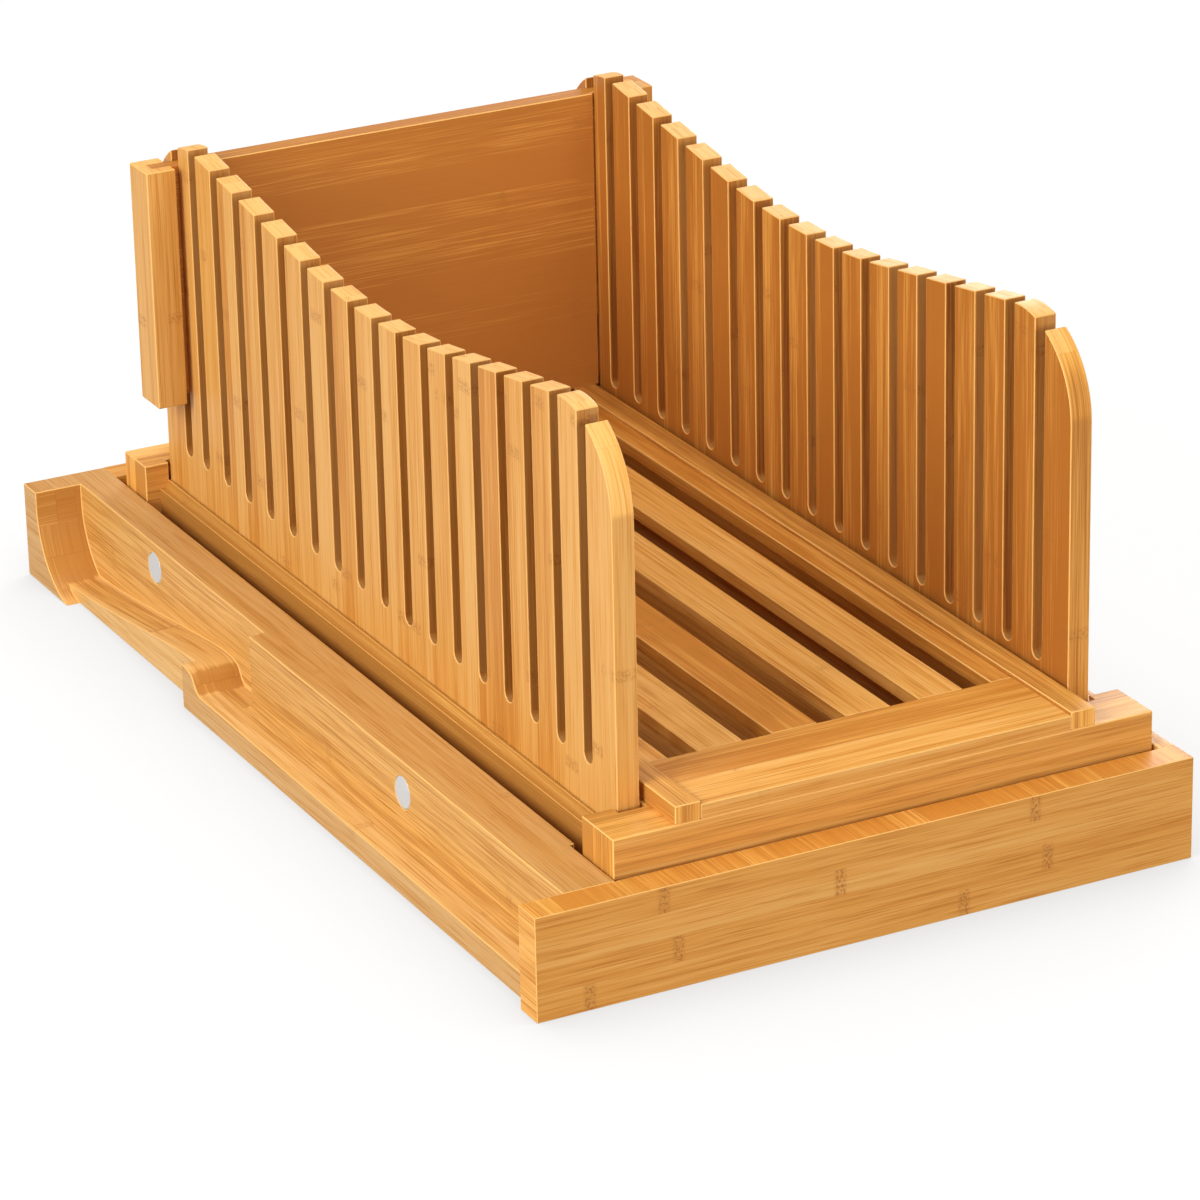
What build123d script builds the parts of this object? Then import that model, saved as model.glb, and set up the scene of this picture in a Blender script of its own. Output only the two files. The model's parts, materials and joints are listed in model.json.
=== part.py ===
from build123d import *
import math
import os

# Bread slicer guide in laminated bamboo.
# X runs across the loaf, Y from the front board (-) to the back board (+), Z up.
# The origin is the middle of the footprint, on the table. All lengths in mm.

# crumb tray with the knife bay on its left side
tray_width = 210.0
tray_depth = 370.0
tray_height = 31.5
front_board_t = 10.0
rear_board_t = 10.0
right_board_t = 5.0
block_width = 28.2
block_setback = 3.0
floor_t = 4.5
floor_z = 3.5
floor_groove = 2.5
floor_play = 0.15
seat_notch = 1.6
seat_notch_length = 27.0

# knife bay milled into the left block
handle_bay_depth = 15.8
blade_bay_depth = 10.8
handle_bay_length = 153.0
ledge_z = 8.0
ledge_cove = 3.0
shelf_inset = 4.6
shelf_rear_z = 3.6
crest_z = 14.4
crest_from_rear = 125.0
drop_length = 13.5
drop_flank_share = 0.65
drop_flank_angle = 65.0
lug_thickness = 10.0
lug_band = 5.4
lug_table_angle = 80.0

# magnets let into the bay wall
magnet_d = 10.0
magnet_t = 4.0
magnet_play = 0.05
handle_magnet_from_rear = 69.0
handle_magnet_z = 23.0
blade_magnet_from_front = 111.0
blade_magnet_z = 21.6

# slicer frame that stands in the tray
rail_play = 0.9
rail_front_gap = 2.5
front_rail_t = 18.5
rear_rail_t = 16.5
rear_finger_gap = 6.5
rail_top_z = 42.4
side_rail_bottom_z = 16.0
side_rail_lip = 4.2
side_rail_inner = 6.0
lip_drop = 5.9
shoulder_drop = 8.4
shoulder_width = 1.3
lip_flat = 0.9
groove_floor_z = 24.0
groove_play = 0.35
notch_depth = 3.3
notch_play = 0.9
rail_overhang = 6.4

# bread bed on top of the rails
stile_width = 8.0
stile_t = 5.6
bed_step = 1.1
cross_board_width = 32.0
half_slat_width = 7.0
full_slats = 4
slat_gap = 9.4
tenon_t = 1.8
tenon_length = 5.0
tenon_play = 0.15

# slotted walls
wall_t = 7.0
wall_bed_gap = 1.7
wall_engage = 1.0
slot_w = 5.2
slot_count = 18
slot_pitch = 16.3
end_slat = 14.4
slot_bottom_z = 49.6
wall_ramp_angle = 8.5
wall_dip_z = 139.4
wall_dip_radius = 330.0
wall_corner_radius = 28.0

# back board with its two end cleats
panel_t = 7.2
panel_play = 0.8
panel_top_z = 147.3
tongue_t = 4.7
tongue_bottom_z = 72.0
tongue_in_cleat = 6.0
mortise_play = 0.1
cleat_gap = 2.6
cleat_width = 9.8
cleat_depth = 13.4
cleat_bottom_z = 70.0
cleat_top_z = 147.6

# hidden dowels
dowel_d = 5.0
dowel_play = 0.08
dowel_length = 24.0
dowel_end_play = 0.5
rail_dowel_share = 11.0
board_dowel_share = 7.0

# small eased edges
ease = 0.3

# places that follow from the sizes above
x_left = -tray_width / 2
x_right = tray_width / 2
y_front = -tray_depth / 2
y_rear = tray_depth / 2
block_x0 = x_left + block_setback
recess_x0 = block_x0 + block_width
recess_x1 = x_right - right_board_t
recess_y0 = y_front + front_board_t
recess_y1 = y_rear - rear_board_t
floor_top = floor_z + floor_t

# the hollow of the lug is part of a circle that runs down to the table
lug_arc_z = tray_height - lug_band
lug_arc = lug_arc_z / math.sin(math.radians(lug_table_angle))
lug_arc_y = y_rear - lug_thickness - lug_arc
lug_shelf_angle = math.degrees(math.asin((lug_arc_z - shelf_rear_z) / lug_arc))

frame_cx = (recess_x0 - seat_notch + recess_x1) / 2
front_rail_x0 = recess_x0 - seat_notch + rail_play
rear_rail_x0 = recess_x0 + rail_play
rail_x1 = recess_x1 - rail_play
front_rail_y0 = recess_y0 + rail_front_gap
front_rail_y1 = front_rail_y0 + front_rail_t
rear_rail_y1 = recess_y1 - rear_finger_gap
rear_rail_y0 = rear_rail_y1 - rear_rail_t

# the rails' length leaves the room for the side rails, the walls and the bed between them
side_rail_out = (rail_x1 - front_rail_x0) / 2 - rail_overhang
wall_out = side_rail_out - side_rail_lip
wall_in = wall_out - wall_t
side_rail_in = wall_in - groove_play - side_rail_inner
bed_half = wall_in - wall_bed_gap
wall_y0 = front_rail_y1 - wall_engage
wall_y1 = rear_rail_y0 + wall_engage
wall_mid_y = (wall_y0 + wall_y1) / 2
board_slot_y = wall_y1 - end_slat - slot_w / 2
knife_slot_y = [wall_y0 + end_slat + slot_w / 2 + slot_pitch * i for i in range(slot_count - 1)]

stile_top = rail_top_z + stile_t
bed_top = stile_top - bed_step

# top edge of a wall: two ramps that meet at a point below the dip's arc
wall_slope = math.tan(math.radians(wall_ramp_angle))
wall_ramp_foot_z = wall_dip_z - wall_dip_radius * (1 / math.cos(math.radians(wall_ramp_angle)) - 1)
wall_corner_z = wall_ramp_foot_z + (wall_y1 - wall_y0) / 2 * wall_slope


def block(x0, x1, y0, y1, z0, z1):
    solid = Box(x1 - x0, y1 - y0, z1 - z0)
    return Pos((x0 + x1) / 2, (y0 + y1) / 2, (z0 + z1) / 2) * solid


def eased_block(x0, x1, y0, y1, z0, z1):
    solid = block(x0, x1, y0, y1, z0, z1)
    return chamfer(solid.edges(), ease)


def rod_x(x0, x1, y, z, d):
    return Pos((x0 + x1) / 2, y, z) * Rot(0, 90, 0) * Cylinder(d / 2, x1 - x0)


def rod_y(x, y0, y1, z, d):
    return Pos(x, (y0 + y1) / 2, z) * Rot(90, 0, 0) * Cylinder(d / 2, y1 - y0)


def across(side, near, far):
    # two distances from the middle of the frame as X places in rising order
    a = frame_cx + side * near
    b = frame_cx + side * far
    return min(a, b), max(a, b)


# knife block

def on_lug_arc(angle):
    # angle in degrees below level, 0 where the hollow meets the upright part of the lug
    turn = math.radians(angle)
    return lug_arc_y + lug_arc * math.cos(turn), lug_arc_z - lug_arc * math.sin(turn)


def lug_hollow(foot_angle):
    return ThreePointArc(on_lug_arc(0), on_lug_arc(foot_angle / 2), on_lug_arc(foot_angle))


def bay_profile(top):
    # side view of the handle bay: hollow lug, rising shelf, rounded drop to the ledge
    lug_y = y_rear - lug_thickness
    foot_y = on_lug_arc(lug_shelf_angle)[0]
    crest_y = y_rear - crest_from_rear
    drop_y = crest_y - drop_length
    bay_end = y_rear - handle_bay_length
    rise = crest_z - shelf_rear_z
    run = foot_y - crest_y
    shelf = Bezier(
        (foot_y, shelf_rear_z),
        (foot_y - run * 0.30, shelf_rear_z + rise * 0.11),
        (crest_y + run * 0.18, crest_z - rise * 0.05),
        (crest_y, crest_z),
    )
    flank_y = crest_y - drop_length * drop_flank_share
    flank_z = (crest_z + ledge_z) / 2
    pull = (crest_z - ledge_z) * 0.3
    pull_y = pull * math.cos(math.radians(drop_flank_angle))
    pull_z = pull * math.sin(math.radians(drop_flank_angle))
    upper = Bezier(
        (crest_y, crest_z),
        (crest_y - drop_length * 0.45, crest_z),
        (flank_y + pull_y, flank_z + pull_z),
        (flank_y, flank_z),
    )
    lower = Bezier(
        (flank_y, flank_z),
        (flank_y - pull_y, flank_z - pull_z),
        (drop_y + drop_length * 0.14, ledge_z),
        (drop_y, ledge_z),
    )
    outline = Polyline(on_lug_arc(0), (lug_y, top), (bay_end, top), (bay_end, ledge_z), (drop_y, ledge_z))
    return make_face([lug_hollow(lug_shelf_angle), shelf, upper, lower, outline.edges()])


def lug_clearance(top):
    # open space beside the shelf, down to the table
    floor_y = on_lug_arc(lug_table_angle)[0]
    lug_y = y_rear - lug_thickness
    crest_y = y_rear - crest_from_rear
    outline = Polyline(
        (floor_y, 0),
        (floor_y, -1),
        (crest_y, -1),
        (crest_y, top),
        (lug_y, top),
        on_lug_arc(0),
    )
    return make_face([lug_hollow(lug_table_angle), outline.edges()])


def along_x(face, x0, x1):
    # a face drawn in (Y, Z) turned into a solid between two X places
    return extrude(Plane((x0, 0, 0), x_dir=(0, 1, 0), z_dir=(1, 0, 0)) * face, x1 - x0)


def magnet_pocket(x, y, z):
    return rod_x(x - 1, x + magnet_t, y, z, magnet_d + 2 * magnet_play)


def knife_block():
    over = tray_height + 5
    solid = block(block_x0, recess_x0, recess_y0, y_rear, 0, tray_height)
    solid -= along_x(bay_profile(over), block_x0 - 1, block_x0 + handle_bay_depth)
    solid -= along_x(lug_clearance(over), block_x0 - 1, block_x0 + shelf_inset)
    blade_x1 = block_x0 + blade_bay_depth
    blade_y1 = y_rear - handle_bay_length + 1
    blade = block(block_x0 - 1, blade_x1, recess_y0 - 1, blade_y1, ledge_z, over)
    cove_edge = blade.edges().filter_by(Axis.Y).sort_by(Axis.Z)[0:2].sort_by(Axis.X)[-1]
    solid -= fillet(cove_edge, ledge_cove)
    notch_y1 = recess_y0 + seat_notch_length
    solid -= block(recess_x0 - seat_notch, recess_x0 + 1, recess_y0 - 1, notch_y1, floor_top, over)
    solid -= floor_groove_space()
    solid -= magnet_pocket(block_x0 + handle_bay_depth, y_rear - handle_magnet_from_rear, handle_magnet_z)
    solid -= magnet_pocket(blade_x1, y_front + blade_magnet_from_front, blade_magnet_z)
    for hole in base_dowel_holes():
        solid -= hole
    return solid


def magnet(x, y, z):
    disc = rod_x(x, x + magnet_t - magnet_play, y, z, magnet_d)
    return chamfer(disc.edges().group_by(Axis.X)[0], 0.3)


# tray boards

def floor_groove_space():
    g = floor_groove
    return block(recess_x0 - g, recess_x1 + g, recess_y0 - g, recess_y1 + g, floor_z, floor_top)


def tray_floor():
    g = floor_groove - floor_play
    x0 = recess_x0 - g
    x1 = recess_x1 + g
    return block(x0, x1, recess_y0 - g, recess_y1 + g, floor_z, floor_top)


def base_dowel_places():
    # two dowels from the front board into the block, two from the block into the rear board
    low = tray_height * 0.26
    high = tray_height * 0.70
    block_x = (block_x0 + blade_bay_depth + recess_x0 - seat_notch) / 2
    front = [(block_x, low), (block_x, high)]
    rear_y = (recess_y1 + y_rear) / 2
    rear = [(rear_y, low), (rear_y, high)]
    return front, rear


def base_dowel_set(d, play):
    front, rear = base_dowel_places()
    start = recess_y0 - board_dowel_share
    pieces = [rod_y(x, start - play, start + dowel_length + play, z, d) for x, z in front]
    start = recess_x0 - dowel_length / 2
    pieces += [rod_x(start - play, start + dowel_length + play, y, z, d) for y, z in rear]
    return pieces


def base_dowel_holes():
    return base_dowel_set(dowel_d + 2 * dowel_play, dowel_end_play)


def base_dowels():
    return Compound(children=[piece for piece in base_dowel_set(dowel_d, 0)])


def front_board():
    solid = block(x_left, x_right, y_front, recess_y0, 0, tray_height)
    solid -= floor_groove_space()
    for hole in base_dowel_holes():
        solid -= hole
    return solid


def rear_board():
    solid = block(recess_x0, x_right, recess_y1, y_rear, 0, tray_height)
    solid -= floor_groove_space()
    for hole in base_dowel_holes():
        solid -= hole
    return solid


def right_board():
    solid = block(recess_x1, x_right, recess_y0, recess_y1, 0, tray_height)
    return solid - floor_groove_space()


# slicer frame

def wall_notches(y0, y1):
    # shallow pockets in a rail for the ends of the two walls
    spaces = []
    for side in (-1, 1):
        x0, x1 = across(side, wall_in - notch_play, wall_out + notch_play)
        spaces.append(block(x0, x1, y0, y1, groove_floor_z, rail_top_z + 1))
    return spaces


def frame_dowel_set(d, play):
    pieces = []
    z = (side_rail_bottom_z + groove_floor_z) / 2
    for side in (-1, 1):
        for offset in (side_rail_out - dowel_d, side_rail_in + dowel_d):
            x = frame_cx + side * offset
            start = front_rail_y1 - rail_dowel_share
            pieces.append(rod_y(x, start - play, start + dowel_length + play, z, d))
            end = rear_rail_y0 + rail_dowel_share
            pieces.append(rod_y(x, end - dowel_length - play, end + play, z, d))
    return pieces


def frame_dowel_holes():
    return frame_dowel_set(dowel_d + 2 * dowel_play, dowel_end_play)


def frame_dowels():
    return Compound(children=[piece for piece in frame_dowel_set(dowel_d, 0)])


def front_rail():
    solid = eased_block(front_rail_x0, rail_x1, front_rail_y0, front_rail_y1, floor_top, rail_top_z)
    for space in wall_notches(front_rail_y1 - notch_depth, front_rail_y1 + 1):
        solid -= space
    for hole in frame_dowel_holes():
        solid -= hole
    return solid


def rear_rail():
    solid = eased_block(rear_rail_x0, rail_x1, rear_rail_y0, rear_rail_y1, floor_top, rail_top_z)
    for space in wall_notches(rear_rail_y0 - 1, rear_rail_y0 + notch_depth):
        solid -= space
    for hole in frame_dowel_holes():
        solid -= hole
    return solid


def side_rail_section():
    # end view, drawn outward from the middle: inner ledge, wall groove, lip, cove, shoulder
    groove_in = wall_in - groove_play
    groove_out = wall_out + groove_play
    shoulder_z = rail_top_z - shoulder_drop
    lip_z = rail_top_z - lip_drop
    lip_out = groove_out + lip_flat
    cove = side_rail_out - shoulder_width - lip_out
    reach = cove * (1 - math.cos(math.radians(45)))
    arc = ThreePointArc(
        (lip_out + cove, shoulder_z),
        (lip_out + reach, shoulder_z + reach),
        (lip_out, shoulder_z + cove),
    )
    outline = Polyline(
        (lip_out, shoulder_z + cove),
        (lip_out, lip_z),
        (groove_out, lip_z),
        (groove_out, groove_floor_z),
        (groove_in, groove_floor_z),
        (groove_in, rail_top_z),
        (side_rail_in, rail_top_z),
        (side_rail_in, side_rail_bottom_z),
        (side_rail_out, side_rail_bottom_z),
        (side_rail_out, shoulder_z),
        (lip_out + cove, shoulder_z),
    )
    return make_face([arc, outline.edges()])


def side_rail(side):
    start = front_rail_y1 if side < 0 else rear_rail_y0
    end_plane = Plane((frame_cx, start, 0), x_dir=(side, 0, 0), z_dir=(0, -side, 0))
    solid = extrude(end_plane * side_rail_section(), rear_rail_y0 - front_rail_y1)
    for hole in frame_dowel_holes():
        solid -= hole
    return solid


# bread bed

def bed_stile(side):
    x0, x1 = across(side, bed_half - stile_width, bed_half)
    return eased_block(x0, x1, front_rail_y0, rear_rail_y1, rail_top_z, stile_top)


def bed_cross_board(front):
    half = bed_half - stile_width
    mid_z = (rail_top_z + bed_top) / 2
    cut = tenon_t / 2 + tenon_play
    if front:
        y0 = front_rail_y0
        y1 = y0 + cross_board_width
        slot = (y1 - tenon_length - tenon_play, y1 + 1)
    else:
        y1 = rear_rail_y1
        y0 = y1 - cross_board_width
        slot = (y0 - 1, y0 + tenon_length + tenon_play)
    solid = block(frame_cx - half, frame_cx + half, y0, y1, rail_top_z, bed_top)
    return solid - block(frame_cx - half - 1, frame_cx + half + 1, slot[0], slot[1], mid_z - cut, mid_z + cut)


def bed_slat_spans():
    # a half slat against each stile and equal full slats between them
    inner = bed_half - stile_width
    free = 2 * (inner - half_slat_width) - (full_slats + 1) * slat_gap
    full = free / full_slats
    spans = [(frame_cx - inner, frame_cx - inner + half_slat_width)]
    x = spans[0][1] + slat_gap
    for _ in range(full_slats):
        spans.append((x, x + full))
        x += full + slat_gap
    spans.append((x, x + half_slat_width))
    return spans


def bed_slat(span):
    y0 = front_rail_y0 + cross_board_width
    y1 = rear_rail_y1 - cross_board_width
    mid_z = (rail_top_z + bed_top) / 2
    body = eased_block(span[0], span[1], y0, y1, rail_top_z, bed_top)
    lap = tenon_length
    tenon = block(span[0] + ease, span[1] - ease, y0 - lap, y1 + lap, mid_z - tenon_t / 2, mid_z + tenon_t / 2)
    return body + tenon


# slotted walls

def wall_outline():
    # dipped top edge, swept corners, square foot
    face = make_face(
        Polyline(
            (wall_y0, groove_floor_z),
            (wall_y1, groove_floor_z),
            (wall_y1, wall_corner_z),
            (wall_mid_y, wall_ramp_foot_z),
            (wall_y0, wall_corner_z),
            close=True,
        )
    )
    dip = [v for v in face.vertices() if abs(v.X - wall_mid_y) < 0.1]
    face = fillet(dip, wall_dip_radius)
    corners = [v for v in face.vertices() if v.Y > wall_corner_z - 0.1]
    return fillet(corners, wall_corner_radius)


def wall_slot(side, y):
    foot = slot_bottom_z + slot_w / 2
    x0, x1 = across(side, wall_in - 1, wall_out + 1)
    top = wall_corner_z + 1
    cut = block(x0, x1, y - slot_w / 2, y + slot_w / 2, foot, top)
    return cut + rod_x(x0, x1, y, foot, slot_w)


def wall(side):
    x0, x1 = across(side, wall_in, wall_out)
    solid = along_x(wall_outline(), x0, x1)
    for y in knife_slot_y + [board_slot_y]:
        solid -= wall_slot(side, y)
    return solid


# back board

def back_panel():
    reach = wall_out + cleat_gap + tongue_in_cleat
    main = block(
        frame_cx - wall_in + panel_play,
        frame_cx + wall_in - panel_play,
        board_slot_y - panel_t / 2,
        board_slot_y + panel_t / 2,
        stile_top,
        panel_top_z,
    )
    main = chamfer(main.edges(), ease)
    tongue = block(
        frame_cx - reach,
        frame_cx + reach,
        board_slot_y - tongue_t / 2,
        board_slot_y + tongue_t / 2,
        tongue_bottom_z,
        panel_top_z,
    )
    return main + tongue


def cleat(side):
    near = wall_out + cleat_gap
    x0, x1 = across(side, near, near + cleat_width)
    y0 = board_slot_y - cleat_depth / 2
    solid = eased_block(x0, x1, y0, y0 + cleat_depth, cleat_bottom_z, cleat_top_z)
    half = tongue_t / 2 + mortise_play
    foot = tongue_bottom_z - mortise_play
    m0, m1 = across(side, near - 1, near + tongue_in_cleat + mortise_play)
    return solid - block(m0, m1, board_slot_y - half, board_slot_y + half, foot, cleat_top_z + 1)


# write every sub-component

parts = {
    "knife_block": knife_block(),
    "front_board": front_board(),
    "rear_board": rear_board(),
    "right_board": right_board(),
    "tray_floor": tray_floor(),
    "base_dowels": base_dowels(),
    "handle_magnet": magnet(
        block_x0 + handle_bay_depth, y_rear - handle_magnet_from_rear, handle_magnet_z
    ),
    "blade_magnet": magnet(
        block_x0 + blade_bay_depth, y_front + blade_magnet_from_front, blade_magnet_z
    ),
    "front_rail": front_rail(),
    "rear_rail": rear_rail(),
    "left_side_rail": side_rail(-1),
    "right_side_rail": side_rail(1),
    "frame_dowels": frame_dowels(),
    "bed_left_stile": bed_stile(-1),
    "bed_right_stile": bed_stile(1),
    "bed_front_board": bed_cross_board(True),
    "bed_rear_board": bed_cross_board(False),
    "left_wall": wall(-1),
    "right_wall": wall(1),
    "back_panel": back_panel(),
    "left_cleat": cleat(-1),
    "right_cleat": cleat(1),
}
for number, span in enumerate(bed_slat_spans(), 1):
    parts[f"bed_slat_{number}"] = bed_slat(span)

os.makedirs("parts", exist_ok=True)
for name, solid in parts.items():
    solid.label = name
    export_step(solid, f"parts/{name}.step")
    box = solid.bounding_box()
    print(f"{name:18s} {solid.volume / 1000:8.2f} cm3  {box.min.X:8.2f} {box.max.X:8.2f}")
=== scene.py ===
import bpy
import json
from math import radians, sin, cos
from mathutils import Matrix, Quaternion, Vector

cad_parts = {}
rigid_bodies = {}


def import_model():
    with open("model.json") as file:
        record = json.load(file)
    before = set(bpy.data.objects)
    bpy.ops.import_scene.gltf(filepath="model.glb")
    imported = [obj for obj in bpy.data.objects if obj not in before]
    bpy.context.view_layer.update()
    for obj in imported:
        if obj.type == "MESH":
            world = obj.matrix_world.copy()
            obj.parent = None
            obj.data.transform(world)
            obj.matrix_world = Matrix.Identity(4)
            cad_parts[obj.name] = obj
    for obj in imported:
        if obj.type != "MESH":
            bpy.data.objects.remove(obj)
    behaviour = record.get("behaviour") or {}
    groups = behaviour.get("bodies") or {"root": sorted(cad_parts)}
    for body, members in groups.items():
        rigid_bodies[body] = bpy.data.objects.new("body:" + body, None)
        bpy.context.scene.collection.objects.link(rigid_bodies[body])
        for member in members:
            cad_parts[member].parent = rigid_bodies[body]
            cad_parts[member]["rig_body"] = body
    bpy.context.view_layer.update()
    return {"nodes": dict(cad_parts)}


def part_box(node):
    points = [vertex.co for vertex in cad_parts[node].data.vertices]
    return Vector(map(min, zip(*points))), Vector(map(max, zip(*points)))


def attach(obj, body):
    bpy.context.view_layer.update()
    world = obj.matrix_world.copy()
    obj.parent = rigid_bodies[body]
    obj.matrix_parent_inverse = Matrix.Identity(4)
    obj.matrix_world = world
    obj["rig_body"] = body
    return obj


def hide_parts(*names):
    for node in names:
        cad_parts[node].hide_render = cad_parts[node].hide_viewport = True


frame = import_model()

mm = 0.001
print("frame loaded:", len(frame["nodes"]), "nodes")


def onlySelect(thing):
    # operators act on the whole selection, so it is cleared first
    bpy.ops.object.select_all(action="DESELECT")
    thing.select_set(True)
    bpy.context.view_layer.objects.active = thing


def wire(tree, fromNode, fromSocket, toNode, toSocket):
    tree.links.new(fromNode.outputs[fromSocket], toNode.inputs[toSocket])


def addNode(tree, kind, **values):
    # values for the sockets by name, settings of the node itself with a leading underscore
    node = tree.nodes.new(kind)
    for key, value in values.items():
        if key.startswith("_"):
            setattr(node, key[1:], value)
        else:
            node.inputs[key].default_value = value
    return node


def mathStep(tree, operation, first, second=None):
    # each of first and second is a number or a (node, socket) pair
    node = tree.nodes.new("ShaderNodeMath")
    node.operation = operation
    for place, source in enumerate((first, second)):
        if isinstance(source, tuple):
            wire(tree, source[0], source[1], node, place)
        elif source is not None:
            node.inputs[place].default_value = source
    return (node, 0)


def combine(tree, x, y, z):
    node = tree.nodes.new("ShaderNodeCombineXYZ")
    for place, source in enumerate((x, y, z)):
        if isinstance(source, tuple):
            wire(tree, source[0], source[1], node, place)
        else:
            node.inputs[place].default_value = source
    return (node, 0)


def smoothRange(tree, value, low, high, outLow=0.0, outHigh=1.0):
    node = tree.nodes.new("ShaderNodeMapRange")
    node.interpolation_type = "SMOOTHSTEP"
    wire(tree, value[0], value[1], node, "Value")
    node.inputs["From Min"].default_value = low
    node.inputs["From Max"].default_value = high
    node.inputs["To Min"].default_value = outLow
    node.inputs["To Max"].default_value = outHigh
    return (node, "Result")


def mixColours(tree, amount, first, second, blend="MIX"):
    node = tree.nodes.new("ShaderNodeMix")
    node.data_type = "RGBA"
    node.blend_type = blend
    for socket, source in (("Factor", amount), ("A", first), ("B", second)):
        place = {"Factor": 0, "A": 6, "B": 7}[socket]
        if isinstance(source[0] if isinstance(source, tuple) else source, bpy.types.Node):
            wire(tree, source[0], source[1], node, place)
        elif socket == "Factor":
            node.inputs[0].default_value = source
        else:
            node.inputs[place].default_value = (*source, 1.0)
    return (node, 2)


# linear colours of the wood from pale to brown, lengths along and across the grain
bamboo = {
    "pale": (0.880, 0.492, 0.148),
    "honey": (0.790, 0.378, 0.076),
    "amber": (0.620, 0.238, 0.032),
    "line": (0.430, 0.150, 0.020),
    "knuckle": (0.400, 0.150, 0.030),
    # colour of the painted shade inside the slots
    "glue": (0.330, 0.120, 0.025),
    "slot": (0.230, 0.062, 0.008),
    "knuckleSpacing": 118 * mm,
    "knuckleWidth": 5.0 * mm,
    "knuckleDepth": 0.8,
    "knuckleFrom": 0.48,
    "knuckleRagged": 2.6 * mm,
    "knuckleFade": 1.3 * mm,
    "speckScale": (1000.0, 1300.0),
    "patchScale": (110.0, 9.0),
    "fibre": 0.46 * mm,
    "fibreLength": 34 * mm,
    "fibreDepth": 1.5,
    "lineDepth": 0.30,
    "waver": 2.4 * mm,
    "streak": 2.6 * mm,
    "streakLength": 110 * mm,
    "streakDepth": 1.9,
    "stripTone": 0.74,
    "slideReach": 3.0,
    "glueDepth": 0.34,
    "glueFull": 0.04 * mm,
    "glueNone": 0.16 * mm,
    "shade": 0.0,
    # amount of painted shade inside the slots
    "slotShade": 0.0,
    "slotFoot": 29 * mm,
    "slotMargin": 2 * mm,
    # amount of painted shade on faces that look to the front
    "paintedFrontShade": 0.0,
    # amount of painted shade on faces that look to the inside
    "paintedInsideShade": 0.0,
    "endShade": 0.0,
    # amount of painted shade on the walls of the knife bay
    "paintedBayShade": 0.0,
    "bayFrom": 6 * mm,
    # amount of painted light on faces that look up
    "topPale": 0.0,
    "roughness": 0.46,
    "bumpDepth": 0.05 * mm,
}

axisPlace = {"X": 0, "Y": 1, "Z": 2}

# how squarely a face looks along an axis to count as flat to it, as upright, or as part of a rim
faceLimit = {"flat": 0.7, "upright": 0.97, "rim": 0.5}


def times(tree, first, second):
    return mathStep(tree, "MULTIPLY", first, second)


def plus(tree, first, second):
    return mathStep(tree, "ADD", first, second)


def minus(tree, first, second):
    return mathStep(tree, "SUBTRACT", first, second)


def above(tree, value, level):
    return mathStep(tree, "GREATER_THAN", value, level)


def swing(tree, value, depth):
    # a chance or a noise runs around a half; here it runs around nothing
    return times(tree, minus(tree, value, 0.5), depth)


def mixVectors(tree, amount, first, second):
    # first is three numbers or a (node, socket) pair, second is three numbers
    node = tree.nodes.new("ShaderNodeMix")
    node.data_type = "VECTOR"
    wire(tree, amount[0], amount[1], node, 0)
    if isinstance(first, tuple):
        wire(tree, first[0], first[1], node, 4)
    else:
        node.inputs[4].default_value = first
    node.inputs[5].default_value = second
    return (node, 1)


def vectorStep(tree, operation, first, second):
    # second is three numbers or a (node, socket) pair
    node = tree.nodes.new("ShaderNodeVectorMath")
    node.operation = operation
    wire(tree, first[0], first[1], node, 0)
    if isinstance(second, tuple):
        wire(tree, second[0], second[1], node, 1)
    else:
        node.inputs[1].default_value = second
    return (node, 0)


def scaledNoise(tree, where, scale, detail, roughness):
    scaled = vectorStep(tree, "MULTIPLY", where, scale)
    noise = addNode(tree, "ShaderNodeTexNoise", Scale=1.0, Detail=detail, Roughness=roughness)
    wire(tree, scaled[0], 0, noise, "Vector")
    return (noise, 0)


def axisScale(axis, others, own):
    scale = [others] * 3
    scale[axis] = own
    return scale


def knuckleBands(tree, look, grain, spot, alongStrip):
    # mottled bands across each strip where the cane had its joints
    spacing = look["knuckleSpacing"]
    halfWidth = 0.5 * look["knuckleWidth"]
    turns = mathStep(tree, "FRACT", mathStep(tree, "DIVIDE", alongStrip, spacing))
    fromKnuckle = times(tree, mathStep(tree, "ABSOLUTE", minus(tree, turns, 0.5)), spacing)
    mottle = scaledNoise(tree, spot, axisScale(grain, *look["speckScale"]), 3.0, 0.6)
    patches = scaledNoise(tree, spot, axisScale(grain, *look["patchScale"]), 1.0, 0.6)
    ragged = plus(tree, fromKnuckle, swing(tree, mottle, look["knuckleRagged"]))
    band = smoothRange(tree, ragged, halfWidth, halfWidth - look["knuckleFade"])
    specks = smoothRange(tree, mottle, 0.49, 0.58)
    worn = smoothRange(tree, patches, look["knuckleFrom"], look["knuckleFrom"] + 0.14)
    knuckle = times(tree, band, plus(tree, times(tree, specks, 0.46), 0.10))
    return times(tree, times(tree, knuckle, worn), look["knuckleDepth"])


def glueLine(tree, look, cell, width):
    # thin line between two strips or two layers
    fromMiddle = mathStep(tree, "ABSOLUTE", minus(tree, mathStep(tree, "FRACT", cell), 0.5))
    fromEdge = times(tree, minus(tree, 0.5, fromMiddle), width)
    return smoothRange(tree, fromEdge, look["glueNone"], look["glueFull"])


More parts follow.
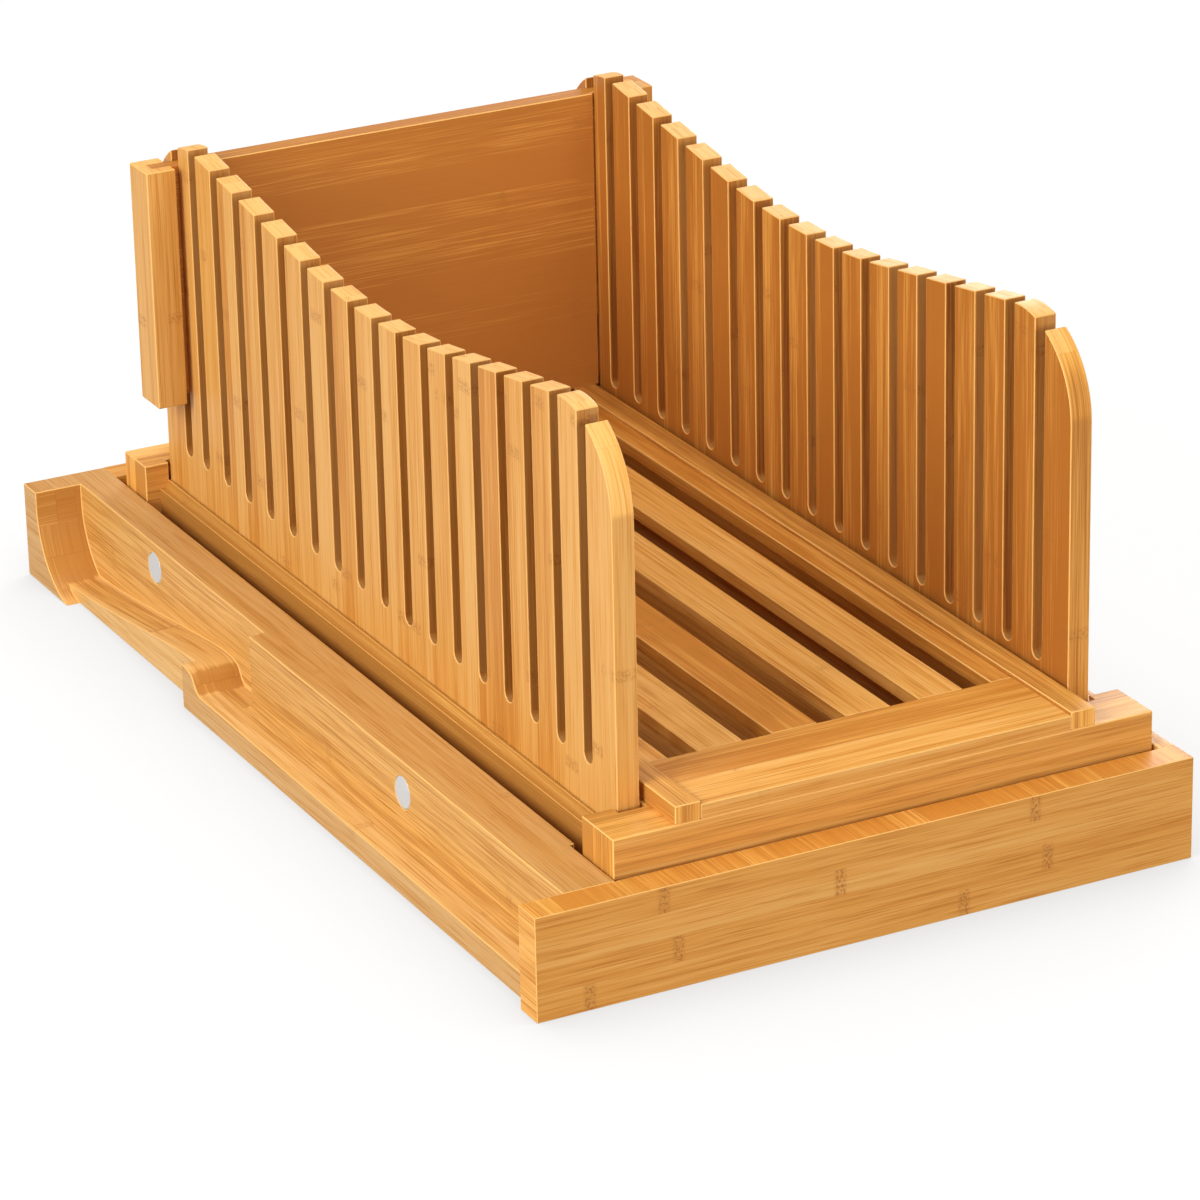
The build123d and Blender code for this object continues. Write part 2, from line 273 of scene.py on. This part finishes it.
def slotCuts(tree, place, facing, look, box, isEnd):
    # painted shade on the sawn sides and round bottoms of the slots, away from the wall's two ends
    upright = above(tree, mathStep(tree, "ABSOLUTE", (facing, 1)), faceLimit["upright"])
    low = mathStep(tree, "LESS_THAN", (place, 2), box[0].z + look["slotFoot"])
    sawn = times(tree, isEnd, mathStep(tree, "MAXIMUM", upright, low))
    sawn = times(tree, sawn, above(tree, (place, 1), box[0].y + look["slotMargin"]))
    sawn = times(tree, sawn, mathStep(tree, "LESS_THAN", (place, 1), box[1].y - look["slotMargin"]))
    return times(tree, sawn, look["slotShade"])


def bambooLook(tree, place, facing, look, box):
    # place and facing are the object position and normal split in X, Y, Z;
    # box is the board's low and high corner
    grain = axisPlace[look["grain"]]
    stripAxis = axisPlace[look["strips"][0]]
    layerAxis = axisPlace[look["layers"][0]]

    # number of the strip and of the layer, counted from the board's low side
    def cellOf(axis, width):
        return mathStep(tree, "DIVIDE", minus(tree, (place, axis), box[0][axis]), width)

    cellA = cellOf(stripAxis, look["strips"][1])
    cellB = cellOf(layerAxis, look["layers"][1])

    # each strip draws its own tone and its own slide along the grain, from 0 to 1
    def chanceOf(stripStep, layerStep, seed, spread):
        turn = times(tree, mathStep(tree, "FLOOR", cellA), stripStep)
        turn = plus(tree, turn, times(tree, mathStep(tree, "FLOOR", cellB), layerStep))
        wave = mathStep(tree, "SINE", plus(tree, turn, seed))
        return mathStep(tree, "FRACT", times(tree, wave, spread))

    toneChance = chanceOf(2.399, 1.7, look["seed"], 9.7)
    slide = times(tree, chanceOf(3.1, 2.2, look["seed"] * 1.3, 17.3), look["slideReach"])
    alongStrip = plus(tree, (place, grain), slide)
    spread = [(place, 0), (place, 1), (place, 2)]
    spread[grain] = alongStrip
    spot = combine(tree, *spread)

    # end faces, and the whole rim of a board that is sawn to shape, have lines across one axis only
    if "rim" in look:
        endAcross = axisPlace[look["rim"]]
        lookAside = mathStep(tree, "ABSOLUTE", (facing, endAcross))
        isEnd = mathStep(tree, "LESS_THAN", lookAside, faceLimit["rim"])
    else:
        endAcross = stripAxis
        isEnd = above(tree, mathStep(tree, "ABSOLUTE", (facing, grain)), faceLimit["flat"])

    def grainNoise(where, width, length, detail):
        side = axisScale(grain, 1 / width, 1 / length)
        end = axisScale(endAcross, 1 / length, 1 / width)
        scale = mixVectors(tree, isEnd, side, end)
        if "upright" in look:
            # upright end faces have level lines
            level = axisScale(2, 1 / length, 1 / width)
            isUpright = above(tree, mathStep(tree, "ABSOLUTE", (facing, 1)), faceLimit["upright"])
            scale = mixVectors(tree, isUpright, scale, level)
        return scaledNoise(tree, where, scale, detail, 0.55)

    streaks = grainNoise(spot, look["streak"], look["streakLength"], 3.0)
    drift = swing(tree, streaks, look["waver"])
    wavy = vectorStep(tree, "ADD", spot, combine(tree, drift, drift, drift))
    fibres = grainNoise(wavy, look["fibre"], look["fibreLength"], 2.0)

    # tone of the strip, then streaks, then fibres
    tone = swing(tree, toneChance, look["stripTone"])
    if look["topPale"] > 0:
        # sawn tops take little strip tone, and painted light makes faces that look up paler
        isTop = smoothRange(tree, (facing, 2), 0.3, 0.95)
        plain = minus(tree, 1.0, isTop)
        tone = times(tree, tone, plus(tree, times(tree, plain, 0.75), 0.25))
        tone = minus(tree, tone, times(tree, isTop, look["topPale"]))
    tone = plus(tree, tone, swing(tree, streaks, look["streakDepth"]))
    tone = plus(tree, tone, swing(tree, fibres, look["fibreDepth"]))
    tone = plus(tree, tone, 0.5 + look["shade"])
    if look["paintedFrontShade"] != 0:
        # painted shade: faces that look to the front, such as the hollows, are darker
        toFront = smoothRange(tree, (facing, 1), -0.15, -0.5)
        tone = plus(tree, tone, times(tree, toFront, look["paintedFrontShade"]))
    if look["paintedInsideShade"] != 0:
        # painted shade: the face towards the loaf is darker
        toInside = smoothRange(tree, (facing, 0), -0.5, -0.9)
        tone = plus(tree, tone, times(tree, toInside, look["paintedInsideShade"]))
    if look["endShade"] != 0:
        tone = plus(tree, tone, times(tree, isEnd, look["endShade"]))
    if look["paintedBayShade"] > 0:
        # painted shade on the walls of the knife bay, which stand back from the board's side
        inside = above(tree, (place, 0), box[0].x + look["bayFrom"])
        wallOfBay = times(tree, inside, above(tree, lookAside, faceLimit["flat"]))
        tone = plus(tree, tone, times(tree, wallOfBay, look["paintedBayShade"]))
    ramp = tree.nodes.new("ShaderNodeValToRGB")
    ramp.color_ramp.elements[0].color = (*look["pale"], 1)
    ramp.color_ramp.elements[1].color = (*look["amber"], 1)
    middle = ramp.color_ramp.elements.new(0.52)
    middle.color = (*look["honey"], 1)
    wire(tree, tone[0], 0, ramp, 0)
    darkLines = times(tree, smoothRange(tree, fibres, 0.53, 0.68), look["lineDepth"])
    colour = mixColours(tree, darkLines, (ramp, 0), look["line"])

    knuckle = knuckleBands(tree, look, grain, spot, alongStrip)
    if "rim" not in look:
        knuckle = times(tree, knuckle, minus(tree, 1.0, isEnd))
    colour = mixColours(tree, knuckle, colour, look["knuckle"])

    lines = mathStep(tree, "MAXIMUM", glueLine(tree, look, cellA, look["strips"][1]),
                     glueLine(tree, look, cellB, look["layers"][1]))
    if look["topPale"] > 0:
        lines = times(tree, lines, plain)
    colour = mixColours(tree, times(tree, lines, look["glueDepth"]), colour, look["glue"])
    # painted shade: the slot sides and bottoms turn dark brown
    if look["slotShade"] > 0:
        colour = mixColours(tree, slotCuts(tree, place, facing, look, box, isEnd), colour, look["slot"])

    height = minus(tree, times(tree, fibres, 0.7), times(tree, lines, 0.5))
    height = minus(tree, height, times(tree, knuckle, 0.9))
    return colour, height, fibres


def bambooMaterial(name, settings, box):
    look = {**bamboo, **settings}
    material = bpy.data.materials.new(name)
    material.use_nodes = True
    tree = material.node_tree
    tree.nodes.clear()
    spot = tree.nodes.new("ShaderNodeTexCoord")
    place = tree.nodes.new("ShaderNodeSeparateXYZ")
    wire(tree, spot, "Object", place, 0)
    facing = tree.nodes.new("ShaderNodeSeparateXYZ")
    wire(tree, spot, "Normal", facing, 0)
    colour, height, fibres = bambooLook(tree, place, facing, look, box)
    if "top" in look:
        # upper faces glued up from short cross pieces
        topLook = {**look, **look["top"], "seed": look["seed"] + 5}
        topColour, topHeight, topFibres = bambooLook(tree, place, facing, topLook, box)
        isTop = above(tree, (facing, 2), faceLimit["flat"])
        colour = mixColours(tree, isTop, colour, topColour)
    surface = addNode(tree, "ShaderNodeBsdfPrincipled", **{"IOR": 1.45, "Specular IOR Level": 0.3})
    wire(tree, colour[0], colour[1], surface, "Base Color")
    shine = smoothRange(tree, fibres, 0.2, 0.8, look["roughness"] - 0.06, look["roughness"] + 0.08)
    wire(tree, shine[0], shine[1], surface, "Roughness")
    bump = addNode(tree, "ShaderNodeBump", Strength=0.5, Distance=look["bumpDepth"])
    wire(tree, height[0], 0, bump, "Height")
    wire(tree, bump, 0, surface, "Normal")
    out = tree.nodes.new("ShaderNodeOutputMaterial")
    wire(tree, surface, 0, out, 0)
    return material


# the rounded edges are a little paler, partly worn and partly a painted highlight, those of the slotted walls
# less
edges = {"width": 0.30 * mm, "segments": 2, "sharpFrom": 50, "roughness": 0.42,
         "worn": (0.800, 0.455, 0.135), "sawn": (0.800, 0.430, 0.125)}


def edgeMaterial(name, colour):
    material = bpy.data.materials.new(name)
    material.use_nodes = True
    surface = material.node_tree.nodes["Principled BSDF"]
    surface.inputs["Base Color"].default_value = (*colour, 1)
    surface.inputs["Roughness"].default_value = edges["roughness"]
    surface.inputs["IOR"].default_value = 1.45
    return material


# grain: the way the fibres run; strips and layers: the axis and width they are counted along;
# rim: the axis across a board that is sawn to shape; whole: one layer through the board;
# wholeBevel: the edges keep their full width beside small faces; top: another look for the upper face
whole = 400 * mm
boards = {
    # the block takes painted shade on faces that look to the front and on the walls of its knife bay
    "knife_block": {"grain": "Y", "strips": ("X", 6.9 * mm), "layers": ("Z", 10.5 * mm), "rim": "X",
                    "seed": 359, "upright": True, "wholeBevel": True, "shade": -0.10, "stripTone": 0.70,
                    "streakDepth": 1.05, "lineDepth": 0.38, "paintedFrontShade": 0.80, "paintedBayShade": 0.24,
                    "pale": (0.780, 0.480, 0.190), "honey": (0.700, 0.365, 0.098),
                    "amber": (0.490, 0.215, 0.042)},
    "front_board": {"grain": "X", "strips": ("Z", 7.9 * mm), "layers": ("Y", whole), "seed": 8,
                    "stripTone": 0.34, "streakDepth": 1.0, "lineDepth": 0.36,
                    "knuckleFrom": 0.0, "knuckleDepth": 1.7,
                    # painted shade: the upper face is darker
                    "top": {"grain": "Y", "strips": ("X", 9.5 * mm), "layers": ("Z", whole),
                            "knuckleDepth": 0.0, "stripTone": 0.6, "shade": 0.42}},
    "rear_board": {"grain": "X", "strips": ("Z", 7.9 * mm), "layers": ("Y", whole), "seed": 21},
    "right_board": {"grain": "Y", "strips": ("Z", 7.9 * mm), "layers": ("X", whole), "seed": 13},
    "tray_floor": {"grain": "Y", "strips": ("X", 18 * mm), "layers": ("Z", whole), "seed": 31},
    # painted shade: the front rail is a little darker all over
    "front_rail": {"grain": "X", "strips": ("Y", 6.2 * mm), "layers": ("Z", whole), "seed": 55,
                   "shade": 0.12, "endShade": 0.5, "amber": (0.540, 0.235, 0.045)},
    "rear_rail": {"grain": "X", "strips": ("Y", 8.25 * mm), "layers": ("Z", whole), "seed": 9, "endShade": 0.5,
                  "amber": (0.540, 0.235, 0.045)},
    # painted shade: the left side rail is darker than the right one, with browner honey and amber
    "left_side_rail": {"grain": "Y", "strips": ("X", 5.9 * mm), "layers": ("Z", whole), "seed": 2,
                       "shade": 0.40, "honey": (0.660, 0.330, 0.076), "amber": (0.480, 0.215, 0.040)},
    "right_side_rail": {"grain": "Y", "strips": ("X", 5.9 * mm), "layers": ("Z", whole), "seed": 4},
    # painted shade: both bed stiles are darker all over
    "bed_left_stile": {"grain": "Y", "strips": ("X", whole), "layers": ("Z", whole), "seed": 6, "shade": 0.40,
                       "amber": (0.540, 0.225, 0.040)},
    "bed_right_stile": {"grain": "Y", "strips": ("X", whole), "layers": ("Z", whole), "seed": 7, "shade": 0.40,
                        "amber": (0.540, 0.225, 0.040)},
    "bed_front_board": {"grain": "X", "strips": ("Y", 16 * mm), "layers": ("Z", whole),
                        "seed": 16, "shade": 0.15},
    "bed_rear_board": {"grain": "X", "strips": ("Y", 16 * mm), "layers": ("Z", whole),
                       "seed": 17, "shade": 0.15},
    # the left wall takes painted shade in its slots and painted light on its top
    "left_wall": {"grain": "Z", "strips": ("Y", 7.7 * mm), "layers": ("X", whole), "rim": "X", "seed": 11,
                  "slotShade": 0.62, "topPale": 0.40, "shade": -0.02, "lineDepth": 0.26, "stripTone": 0.86,
                  "streakDepth": 1.6, "knuckleFrom": 0.34, "knuckleDepth": 1.15},
    # the right wall takes painted shade on its face towards the loaf, with a browner amber, as well as painted
    # shade in its slots and painted light on its top
    "right_wall": {"grain": "Z", "strips": ("Y", 7.7 * mm), "layers": ("X", whole), "rim": "X", "seed": 12,
                   "slotShade": 0.55, "topPale": 0.40, "shade": -0.02, "paintedInsideShade": 0.62, "lineDepth": 0.26,
                   "streakDepth": 1.6, "knuckleFrom": 0.34, "knuckleDepth": 1.15,
                   "amber": (0.470, 0.165, 0.022)},
    # painted shade: the back panel is darker all over, with a browner amber
    "back_panel": {"grain": "X", "strips": ("Z", 12 * mm), "layers": ("Y", whole), "seed": 14,
                   "shade": 0.58, "streakDepth": 0.6, "amber": (0.520, 0.190, 0.028)},
    "left_cleat": {"grain": "Z", "strips": ("X", 4.9 * mm), "layers": ("Y", 6.7 * mm), "seed": 1,
                   "knuckleFrom": 0.3, "knuckleDepth": 1.1},
    "right_cleat": {"grain": "Z", "strips": ("X", 4.9 * mm), "layers": ("Y", 6.7 * mm), "seed": 18},
}
for number in range(1, 7):
    boards[f"bed_slat_{number}"] = {"grain": "Y", "strips": ("X", whole), "layers": ("Z", whole),
                                    "seed": 40 + number, "shade": 0.15}

# boards whose edges are already chamfered in the solid model
chamfered = ("rail", "stile", "slat", "cleat", "panel")
# paler edge materials, partly wear and partly a painted highlight
wornHighlitEdge = edgeMaterial("wornHighlitEdge_bamboo", edges["worn"])
sawnHighlitEdge = edgeMaterial("sawnHighlitEdge_bamboo", edges["sawn"])


def paintChamfers(piece):
    # the narrow slanting faces along the edges take the paler edge colour, partly a painted highlight
    for face in piece.data.polygons:
        if max(abs(face.normal.x), abs(face.normal.y), abs(face.normal.z)) < 0.8:
            face.material_index = 1


def easedBoard(nodeName, settings):
    # a clean copy of the board with its loose triangles merged and its edges eased
    source = frame["nodes"][nodeName]
    piece = bpy.data.objects.new(nodeName + "_wood", source.data.copy())
    bpy.context.scene.collection.objects.link(piece)
    piece.data.materials.clear()
    piece.data.materials.append(bambooMaterial(nodeName + "_bamboo", settings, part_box(nodeName)))
    piece.data.materials.append(sawnHighlitEdge if "slotShade" in settings else wornHighlitEdge)
    for face in piece.data.polygons:
        face.material_index = 0
    onlySelect(piece)
    bpy.ops.object.mode_set(mode="EDIT")
    bpy.ops.mesh.select_all(action="SELECT")
    bpy.ops.mesh.remove_doubles(threshold=0.002 * mm)
    bpy.ops.mesh.dissolve_limited(angle_limit=radians(0.4))
    bpy.ops.object.mode_set(mode="OBJECT")
    bevel = piece.modifiers.new("easedEdges", "BEVEL")
    bevel.width = edges["width"]
    bevel.segments = edges["segments"]
    bevel.limit_method = "ANGLE"
    bevel.angle_limit = radians(edges["sharpFrom"])
    bevel.miter_outer = "MITER_ARC"
    # the bevel faces take the paler edge colour, partly a painted highlight
    bevel.material = 1
    bevel.use_clamp_overlap = "wholeBevel" not in settings
    bpy.ops.object.modifier_apply(modifier=bevel.name)
    if any(word in nodeName for word in chamfered) and "side_rail" not in nodeName:
        paintChamfers(piece)
    bpy.ops.object.shade_smooth_by_angle(angle=radians(35))
    weighted = piece.modifiers.new("evenShading", "WEIGHTED_NORMAL")
    weighted.keep_sharp = True
    weighted.weight = 100
    bpy.ops.object.modifier_apply(modifier=weighted.name)
    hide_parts(nodeName)
    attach(piece, source["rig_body"])
    return piece


for nodeName, settings in boards.items():
    easedBoard(nodeName, settings)
print("boards eased and dressed:", len(boards))

# dowels and magnets keep their solids and take a material
dowelLook = {"grain": "Y", "strips": ("X", whole), "layers": ("Z", whole), "seed": 50,
             "pale": (0.70, 0.46, 0.22), "honey": (0.60, 0.37, 0.16), "amber": (0.50, 0.29, 0.11)}
for nodeName in ("base_dowels", "frame_dowels"):
    data = frame["nodes"][nodeName].data
    data.materials.clear()
    data.materials.append(bambooMaterial(nodeName + "_beech", dowelLook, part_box(nodeName)))

magnetFinish = {"dull": (0.490, 0.508, 0.535), "bright": (0.560, 0.578, 0.608),
                "roughness": 0.42, "metallic": 0.0}


def magnetMaterial():
    material = bpy.data.materials.new("magnet_nickel")
    material.use_nodes = True
    tree = material.node_tree
    surface = tree.nodes["Principled BSDF"]
    surface.inputs["Metallic"].default_value = magnetFinish["metallic"]
    spot = tree.nodes.new("ShaderNodeTexCoord")
    noise = addNode(tree, "ShaderNodeTexNoise", Scale=700.0, Detail=4.0)
    wire(tree, spot, "Object", noise, "Vector")
    worn = mixColours(tree, (noise, 0), magnetFinish["dull"], magnetFinish["bright"])
    wire(tree, worn[0], worn[1], surface, "Base Color")
    rough = smoothRange(tree, (noise, 0), 0.2, 0.8,
                        magnetFinish["roughness"] - 0.08, magnetFinish["roughness"] + 0.1)
    wire(tree, rough[0], rough[1], surface, "Roughness")
    return material


nickel = magnetMaterial()
for nodeName in ("handle_magnet", "blade_magnet"):
    data = frame["nodes"][nodeName].data
    data.materials.clear()
    data.materials.append(nickel)
print("magnets and dowels dressed")

# floor colours for bounced and for seen light, its glow, its shade beside the boards, and the sky's level
room = {"floorSize": 14.0, "floorColour": (0.30, 0.30, 0.30), "seenColour": (0.12, 0.12, 0.12),
        "floorLift": 0.88, "cornerDark": 0.42, "cornerReach": 90 * mm, "worldLevel": 0.36}

bpy.ops.object.select_all(action="DESELECT")
bpy.ops.mesh.primitive_plane_add(size=room["floorSize"], location=(0, 0, -0.05 * mm))
floor = bpy.context.object
floor.name = "studioFloor"
floorMaterial = bpy.data.materials.new("paleFloor")
floorMaterial.use_nodes = True
tree = floorMaterial.node_tree
tree.nodes.clear()
# the camera and reflections see a white floor that still takes the shadow
rays = tree.nodes.new("ShaderNodeLightPath")
seen = mathStep(tree, "MAXIMUM", (rays, "Is Camera Ray"), (rays, "Is Glossy Ray"))
tint = mixColours(tree, seen, room["floorColour"], room["seenColour"])
matt = addNode(tree, "ShaderNodeBsdfDiffuse")
wire(tree, tint[0], tint[1], matt, "Color")
lift = addNode(tree, "ShaderNodeEmission", Color=(1, 1, 1, 1))
# soft shade where the floor meets the boards
corner = addNode(tree, "ShaderNodeAmbientOcclusion", _samples=8, Distance=room["cornerReach"])
clearing = plus(tree, times(tree, (corner, "AO"), room["cornerDark"]), 1 - room["cornerDark"])
liftLevel = times(tree, times(tree, seen, room["floorLift"]), clearing)
wire(tree, liftLevel[0], 0, lift, "Strength")
both = tree.nodes.new("ShaderNodeAddShader")
wire(tree, matt, 0, both, 0)
wire(tree, lift, 0, both, 1)
out = tree.nodes.new("ShaderNodeOutputMaterial")
wire(tree, both, 0, out, 0)
floor.data.materials.append(floorMaterial)

world = bpy.context.scene.world or bpy.data.worlds.new("studio")
bpy.context.scene.world = world
world.use_nodes = True
tree = world.node_tree
tree.nodes.clear()
sky = addNode(tree, "ShaderNodeBackground", Color=(1, 1, 1, 1))
rays = tree.nodes.new("ShaderNodeLightPath")
seen = mathStep(tree, "MAXIMUM", (rays, "Is Camera Ray"), (rays, "Is Transmission Ray"))
level = plus(tree, times(tree, seen, 1 - room["worldLevel"]), room["worldLevel"])
wire(tree, level[0], 0, sky, "Strength")
out = tree.nodes.new("ShaderNodeOutputWorld")
wire(tree, sky, 0, out, 0)

# soft boxes, all turned to the middle of the part: place, size, power and colour
lampAim = (0, 0, 0.06)
lamps = {
    "keyLeft": {"place": (-1.32, -0.40, 0.78), "size": 0.8, "power": 23.5, "colour": (1.0, 0.99, 0.93)},
    "topBack": {"place": (0.10, 0.45, 1.6), "size": 0.9, "power": 8.0, "colour": (1.0, 0.98, 0.96)},
    "frontFill": {"place": (0.05, -1.9, 0.50), "size": 0.7, "power": 18.0, "colour": (1.0, 0.97, 0.92)},
    "backFill": {"place": (1.30, 1.20, 0.55), "size": 0.9, "power": 20.0, "colour": (1.0, 0.98, 0.94)},
}
for name, lamp in lamps.items():
    bpy.ops.object.light_add(type="AREA", location=lamp["place"])
    light = bpy.context.object
    light.name = name
    light.data.size = lamp["size"]
    light.data.energy = lamp["power"]
    light.data.color = lamp["colour"]
    aim = Vector(lampAim) - light.location
    light.rotation_euler = aim.to_track_quat("-Z", "Y").to_euler()
print("room and lamps set")

# the photograph was taken with a long lens from the front left
shot = {"azimuth": -27.12, "elevation": 22.54, "distance": 1.7325, "roll": -1.26, "lens": 165.65,
        "target": (0.0340, 0.0438, 0.0127)}

cameraData = bpy.data.cameras.new("photoCamera")
camera = bpy.data.objects.new("photoCamera", cameraData)
bpy.context.scene.collection.objects.link(camera)
a = radians(shot["azimuth"])
e = radians(shot["elevation"])
back = Vector((sin(a) * cos(e), -cos(a) * cos(e), sin(e)))
camera.location = Vector(shot["target"]) + back * shot["distance"]
camera.rotation_mode = "QUATERNION"
camera.rotation_quaternion = (-back).to_track_quat("-Z", "Y") @ Quaternion((0, 0, 1), radians(shot["roll"]))
cameraData.sensor_width = 36
cameraData.lens = shot["lens"]
cameraData.clip_start = 0.05
cameraData.clip_end = 50
bpy.context.scene.camera = camera
bpy.context.scene.view_settings.view_transform = "Standard"
print("camera set")
